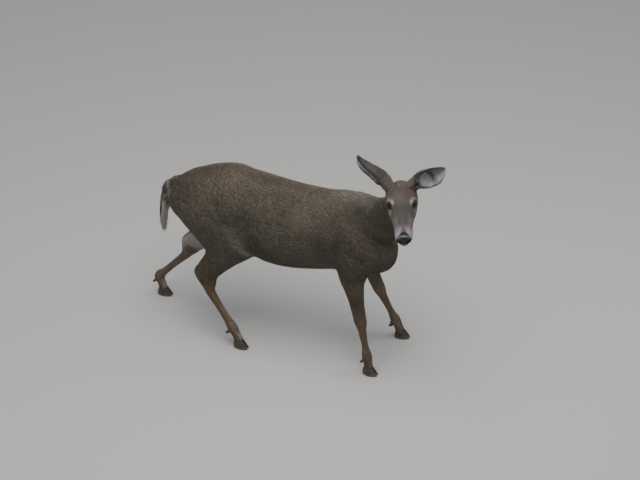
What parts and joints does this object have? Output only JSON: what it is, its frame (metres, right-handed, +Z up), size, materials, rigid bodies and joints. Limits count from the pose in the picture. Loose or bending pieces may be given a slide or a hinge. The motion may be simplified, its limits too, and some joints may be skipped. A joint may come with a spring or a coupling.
{
  "type": "white-tailed deer doe",
  "caption": "Life-size still model of a standing doe in mid-stride: slim head turned to her right, leaf-shaped ears, deep trunk, long thin legs on cloven hooves.",
  "frame": {"origin": "middle of the model's box, on the floor the soles stand on", "axes": "+X the way the trunk points, from tail to chest; +Y the deer's left side; +Z up"},
  "size_m": [1.3946, 0.4906, 1.0777],
  "materials": {
    "coat": "short dense hair, matt",
    "eye": "wet dark eye",
    "nose": "wet bare skin",
    "horn": "keratin, faintly polished"
  },
  "bodies": {
    "root": {"ear_left": "coat", "ear_right": "coat", "eye_left": "eye", "eye_right": "eye", "foreleg_left": "coat", "foreleg_left_dewclaw_inner": "horn", "foreleg_left_dewclaw_outer": "horn", "foreleg_left_hoof_inner": "horn", "foreleg_left_hoof_outer": "horn", "foreleg_right": "coat", "foreleg_right_dewclaw_inner": "horn", "foreleg_right_dewclaw_outer": "horn", "foreleg_right_hoof_inner": "horn", "foreleg_right_hoof_outer": "horn", "head": "coat", "hindleg_left": "coat", "hindleg_left_dewclaw_inner": "horn", "hindleg_left_dewclaw_outer": "horn", "hindleg_left_hoof_inner": "horn", "hindleg_left_hoof_outer": "horn", "hindleg_right": "coat", "hindleg_right_dewclaw_inner": "horn", "hindleg_right_dewclaw_outer": "horn", "hindleg_right_hoof_inner": "horn", "hindleg_right_hoof_outer": "horn", "lower_jaw": "coat", "neck": "coat", "nose_pad": "nose", "tail": "coat", "trunk": "coat"}
  },
  "joints": []
}
